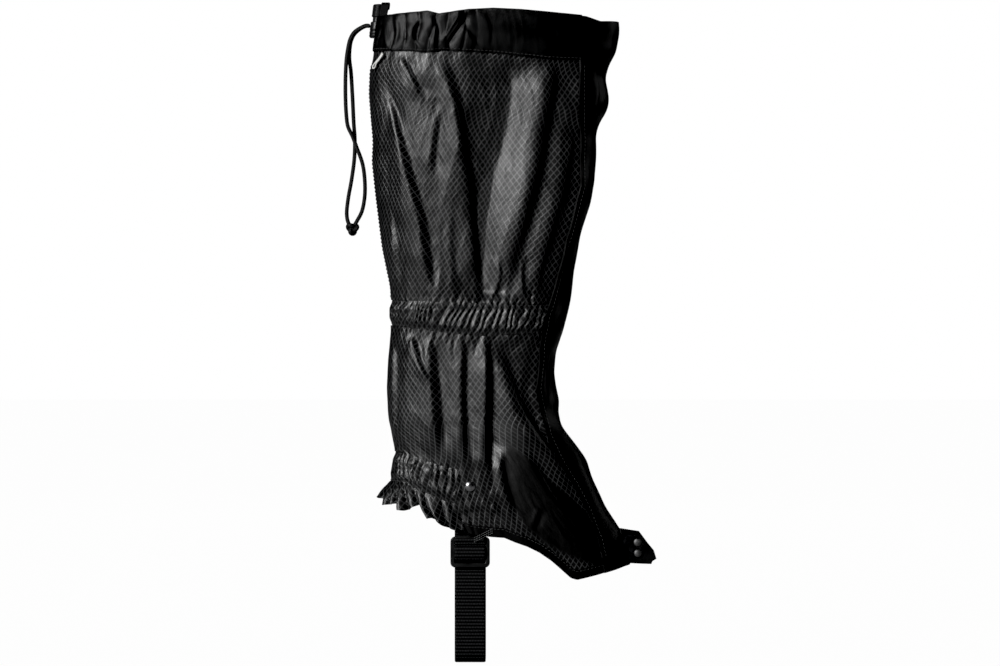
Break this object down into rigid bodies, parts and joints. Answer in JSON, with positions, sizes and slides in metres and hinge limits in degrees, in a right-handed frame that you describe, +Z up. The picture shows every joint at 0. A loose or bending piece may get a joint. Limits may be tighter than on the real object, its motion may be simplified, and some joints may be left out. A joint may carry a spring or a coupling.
{
  "type": "walking gaiter",
  "caption": "Knee-high cloth leg gaiter with drawcord hem, calf and heel elastics, front flap, lace hook and webbing stirrup.",
  "frame": {"origin": "centre of the mid-calf elastic band, on the axis of the leg tube", "axes": "+X towards the toe, +Z up the leg, -Y the outer side of the leg"},
  "size_m": [0.255, 0.0839, 0.5339],
  "materials": {
    "ripstop": "coated diamond ripstop nylon, soft sheen",
    "plain_cloth": "plain coated nylon, soft sheen",
    "closure_tape": "hook-and-loop tape, matt",
    "elastic": "knitted elastic, matt",
    "webbing": "ribbed webbing, matt",
    "elastic_cord": "braided sheath",
    "black_plastic": "moulded, satin",
    "dark_metal": "black-painted steel, satin",
    "rivet_metal": "satin nickel",
    "white_plastic": "gloss"
  },
  "bodies": {
    "root": {"top_hem_outer": "plain_cloth", "top_hem_inner": "plain_cloth", "upper_panel_outer": "ripstop", "upper_panel_inner": "ripstop", "calf_band_casing_outer": "ripstop", "calf_band_casing_inner": "ripstop", "calf_band_facing_outer": "plain_cloth", "calf_band_facing_inner": "plain_cloth", "calf_elastic": "elastic", "lower_panel_outer": "ripstop", "lower_panel_inner": "ripstop", "heel_band_casing_outer": "ripstop", "heel_band_casing_inner": "ripstop", "heel_elastic": "elastic", "heel_frill_outer": "ripstop", "heel_frill_inner": "ripstop", "instep_panel_outer": "ripstop", "instep_panel_inner": "ripstop", "hem_binding_outer": "plain_cloth", "hem_binding_inner": "plain_cloth", "storm_flap_lower": "plain_cloth", "hook_tape_lower": "closure_tape", "loop_tape": "closure_tape", "underlap": "plain_cloth", "toe_tab": "plain_cloth", "lace_hook": "dark_metal", "hook_rivet_1": "rivet_metal", "hook_rivet_2": "rivet_metal", "anchor_rivet_outer": "rivet_metal", "anchor_rivet_inner": "rivet_metal", "anchor_washer_outer": "rivet_metal", "anchor_washer_inner": "rivet_metal", "hem_cord_outer": "elastic_cord", "hem_cord_inner": "elastic_cord", "drawcord_strand_outer": "elastic_cord", "drawcord_strand_inner": "elastic_cord", "drawcord_knot": "elastic_cord", "cord_lock_body": "black_plastic", "cord_lock_spring": "rivet_metal", "cord_lock_tape": "webbing", "tag_loop": "white_plastic"},
    "storm_flap": {"storm_flap_upper": "plain_cloth", "hook_tape_upper": "closure_tape"},
    "stirrup": {"anchor_webbing_outer": "webbing", "strap_buckle": "black_plastic", "underfoot_strap": "webbing"},
    "lock_button": {"cord_lock_button": "black_plastic"}
  },
  "joints": [
    {"name": "storm_flap_open", "type": "hinge", "parent": "root", "child": "storm_flap", "pos_m": [0.084, -0.0354, 0.244], "axis": [0.0072, 0.0988, -0.9951], "range_deg": [0, 100]},
    {"name": "stirrup_swing", "type": "hinge", "parent": "root", "child": "stirrup", "pos_m": [-0.0056, 0, -0.138], "axis": [0, 1, 0], "range_deg": [-22, 22]},
    {"name": "cord_lock_press", "type": "slide", "parent": "root", "child": "lock_button", "axis": [0, 0, -1], "range_m": [0, 0.004], "stiffness_N_per_m": 500, "springref_m": -0.001, "deforming": ["cord_lock_spring"]}
  ]
}
